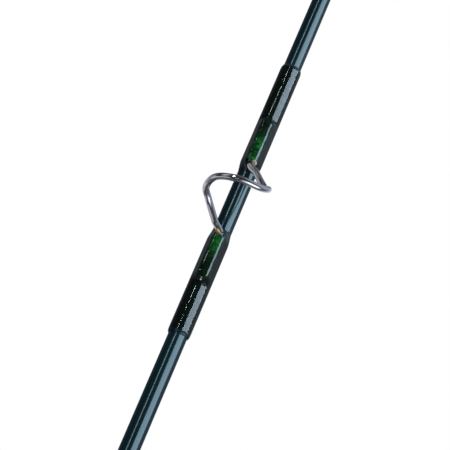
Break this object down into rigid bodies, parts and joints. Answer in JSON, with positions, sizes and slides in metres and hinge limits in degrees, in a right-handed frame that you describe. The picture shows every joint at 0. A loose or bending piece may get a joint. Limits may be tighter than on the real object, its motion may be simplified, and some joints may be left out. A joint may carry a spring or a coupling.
{
  "type": "fishing rod",
  "caption": "Slim tapered fishing rod in sections joined by ferrules, with wire snake guides bound on by varnished thread, a cork grip and a screw-locking reel seat.",
  "frame": {"origin": "middle of the butt cap's flat end face, on the rod's axis", "axes": "+Z along the rod from the butt to the tip, -Y on the side of the guides and the reel, +X to the right seen from the guides' side"},
  "size_m": [0.0264, 0.0339, 2.1384],
  "materials": {
    "blank": "glossy dark teal lacquer over carbon fibre",
    "thread": "dark green winding thread, nearly black where it lies on the blank",
    "finish": "thick clear glossy rod varnish",
    "wire": "polished hard chrome",
    "ceramic": "polished black guide-ring ceramic",
    "seat_metal": "satin black anodised",
    "seat_wood": "varnished burl wood",
    "cork": "sanded cork with small dark pits",
    "check": "polished aluminium"
  },
  "bodies": {
    "butt_section": {"butt_cap": "seat_metal", "threaded_barrel": "seat_metal", "seat_spacer": "seat_wood", "seat_arbors": "cork", "fixed_hood": "seat_metal", "cork_ring_01": "cork", "cork_ring_02": "cork", "cork_ring_03": "cork", "cork_ring_04": "cork", "cork_ring_05": "cork", "cork_ring_06": "cork", "cork_ring_07": "cork", "cork_ring_08": "cork", "cork_ring_09": "cork", "cork_ring_10": "cork", "cork_ring_11": "cork", "cork_ring_12": "cork", "cork_ring_13": "cork", "winding_check": "check", "keeper_base": "wire", "keeper_wraps": "thread", "butt_blank": "blank", "butt_finish": "finish"},
    "sliding_hood": {"sliding_hood": "seat_metal"},
    "lock_nut": {"lock_nut": "seat_metal"},
    "jam_nut": {"jam_nut": "seat_metal"},
    "keeper_ring": {"keeper_ring": "wire"},
    "lower_mid_section": {"lower_mid_blank": "blank", "lower_mid_ferrule_wrap": "thread", "stripping_frame": "wire", "stripping_ring": "ceramic", "stripping_wraps": "thread", "lower_mid_finish": "finish", "snake_guide_8": "wire", "guide_wraps_8": "thread"},
    "upper_mid_section": {"upper_mid_blank": "blank", "upper_mid_ferrule_wrap": "thread", "upper_mid_finish": "finish", "snake_guide_5": "wire", "guide_wraps_5": "thread", "snake_guide_6": "wire", "guide_wraps_6": "thread", "snake_guide_7": "wire", "guide_wraps_7": "thread"},
    "tip_section": {"tip_blank": "blank", "tip_ferrule_wrap": "thread", "tip_tube": "wire", "tip_loop": "wire", "tip_wrap": "thread", "tip_finish": "finish", "snake_guide_1": "wire", "guide_wraps_1": "thread", "snake_guide_2": "wire", "guide_wraps_2": "thread", "snake_guide_3": "wire", "guide_wraps_3": "thread", "snake_guide_4": "wire", "guide_wraps_4": "thread"}
  },
  "joints": [
    {"name": "butt_ferrule", "type": "slide", "parent": "butt_section", "child": "lower_mid_section", "axis": [0, 0, 1], "range_m": [0, 0.06]},
    {"name": "middle_ferrule", "type": "slide", "parent": "lower_mid_section", "child": "upper_mid_section", "axis": [0, 0, 1], "range_m": [0, 0.06]},
    {"name": "tip_ferrule", "type": "slide", "parent": "upper_mid_section", "child": "tip_section", "axis": [0, 0, 1], "range_m": [0, 0.06]},
    {"name": "hood_slide", "type": "slide", "parent": "butt_section", "child": "sliding_hood", "axis": [0, 0, 1], "range_m": [0, 0.02]},
    {"name": "lock_nut_spin", "type": "hinge", "parent": "sliding_hood", "child": "lock_nut", "pos_m": [0, 0, 0.019], "axis": [0, 0, 1], "range_deg": [0, 3600]},
    {"name": "jam_nut_spin", "type": "hinge", "parent": "sliding_hood", "child": "jam_nut", "pos_m": [0, 0, 0.0136], "axis": [0, 0, 1], "range_deg": [0, 3600]},
    {"name": "keeper_swing", "type": "hinge", "parent": "butt_section", "child": "keeper_ring", "pos_m": [0, -0.00536, 0.3001], "axis": [-1, 0, 0], "range_deg": [0, 165]}
  ],
  "couplings": [
    {"joint": "hood_slide", "follows": "lock_nut_spin", "m_per_rad": 0.000318},
    {"joint": "jam_nut_spin", "follows": "lock_nut_spin", "ratio": 1}
  ]
}
